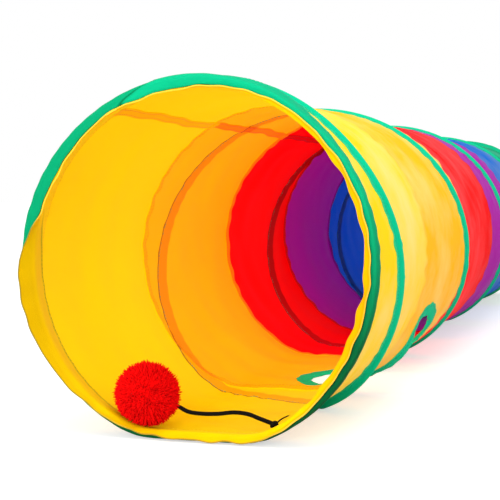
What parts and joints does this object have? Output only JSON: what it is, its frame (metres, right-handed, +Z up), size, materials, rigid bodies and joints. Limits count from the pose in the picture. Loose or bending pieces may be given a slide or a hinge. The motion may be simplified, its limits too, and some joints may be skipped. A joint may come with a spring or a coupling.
{
  "type": "pet agility tunnel",
  "caption": "Collapsible rainbow fabric pet tunnel held open by a spring-steel helix, with closed wire mouths, a bound peephole and a pom-pom toy on an elastic.",
  "frame": {"origin": "on the floor under the middle of the open tunnel: the bottom centre of its box", "axes": "+Y along the tunnel from the front mouth, which has the toy, to the rear mouth; +Z up; +X to the side that the peephole faces"},
  "size_m": [0.25, 1.3, 0.2431],
  "materials": {
    "yellow_fabric": "thin glossy polyester taffeta that lets light through",
    "amber_fabric": "thin glossy polyester taffeta that lets light through",
    "red_fabric": "thin glossy polyester taffeta that lets light through",
    "purple_fabric": "thin glossy polyester taffeta that lets light through",
    "blue_fabric": "thin glossy polyester taffeta that lets light through",
    "green_fabric": "thin glossy polyester taffeta that lets light through",
    "green_tape": "woven polyester tape with paler stitched edges",
    "spring_steel": "drawn wire",
    "ferrule_steel": "crimped sleeve",
    "black_elastic": "woven elastic cord",
    "red_yarn": "fluffy cut yarn"
  },
  "bodies": {
    "front_mouth": {"front_hoop_wire": "spring_steel", "front_ferrule": "ferrule_steel", "front_hoop_casing": "green_tape", "yellow_panel": "yellow_fabric", "helix_wire": "spring_steel", "helix_casing": "green_tape"},
    "amber_section": {"amber_panel": "amber_fabric", "peephole_binding": "green_tape"},
    "red_section": {"red_panel": "red_fabric"},
    "purple_section": {"purple_panel": "purple_fabric"},
    "blue_section": {"blue_panel": "blue_fabric"},
    "green_section": {"green_panel": "green_fabric"},
    "rear_mouth": {"rear_hoop_wire": "spring_steel", "rear_ferrule": "ferrule_steel", "rear_hoop_casing": "green_tape"},
    "toy_swivel": {"anchor_knot": "black_elastic", "anchor_thread": "black_elastic"},
    "toy": {"elastic_cord": "black_elastic", "pom_knot": "black_elastic", "pom_pom": "red_yarn"}
  },
  "joints": [
    {"name": "collapse_1", "type": "slide", "parent": "front_mouth", "child": "amber_section", "axis": [0, -1, 0], "range_m": [0, 0.192], "stiffness_N_per_m": 16, "springref_m": -0.12, "deforming": ["yellow_panel", "helix_wire", "helix_casing"]},
    {"name": "collapse_2", "type": "slide", "parent": "amber_section", "child": "red_section", "axis": [0, -1, 0], "range_m": [0, 0.2116], "stiffness_N_per_m": 16, "springref_m": -0.12, "deforming": ["amber_panel", "peephole_binding"]},
    {"name": "collapse_3", "type": "slide", "parent": "red_section", "child": "purple_section", "axis": [0, -1, 0], "range_m": [0, 0.2116], "stiffness_N_per_m": 16, "springref_m": -0.12, "deforming": ["red_panel"]},
    {"name": "collapse_4", "type": "slide", "parent": "purple_section", "child": "blue_section", "axis": [0, -1, 0], "range_m": [0, 0.2116], "stiffness_N_per_m": 16, "springref_m": -0.12, "deforming": ["purple_panel"]},
    {"name": "collapse_5", "type": "slide", "parent": "blue_section", "child": "green_section", "axis": [0, -1, 0], "range_m": [0, 0.2116], "stiffness_N_per_m": 16, "springref_m": -0.12, "deforming": ["blue_panel"]},
    {"name": "collapse_6", "type": "slide", "parent": "green_section", "child": "rear_mouth", "axis": [0, -1, 0], "range_m": [0, 0.192], "stiffness_N_per_m": 16, "springref_m": -0.12, "deforming": ["green_panel"]},
    {"name": "toy_turn", "type": "hinge", "parent": "front_mouth", "child": "toy_swivel", "pos_m": [0.0492, -0.628, 0.0111], "axis": [-0.418, 0, 0.9084], "range_deg": [-60, 75]},
    {"name": "toy_lift", "type": "hinge", "parent": "toy_swivel", "child": "toy", "pos_m": [0.0492, -0.628, 0.0111], "axis": [0, 1, 0], "range_deg": [0, 75]}
  ],
  "couplings": [
    {"joint": "collapse_2", "follows": "collapse_1", "ratio": 1.1017},
    {"joint": "collapse_3", "follows": "collapse_1", "ratio": 1.1017},
    {"joint": "collapse_4", "follows": "collapse_1", "ratio": 1.1017},
    {"joint": "collapse_5", "follows": "collapse_1", "ratio": 1.1017},
    {"joint": "collapse_6", "follows": "collapse_1", "ratio": 1}
  ]
}
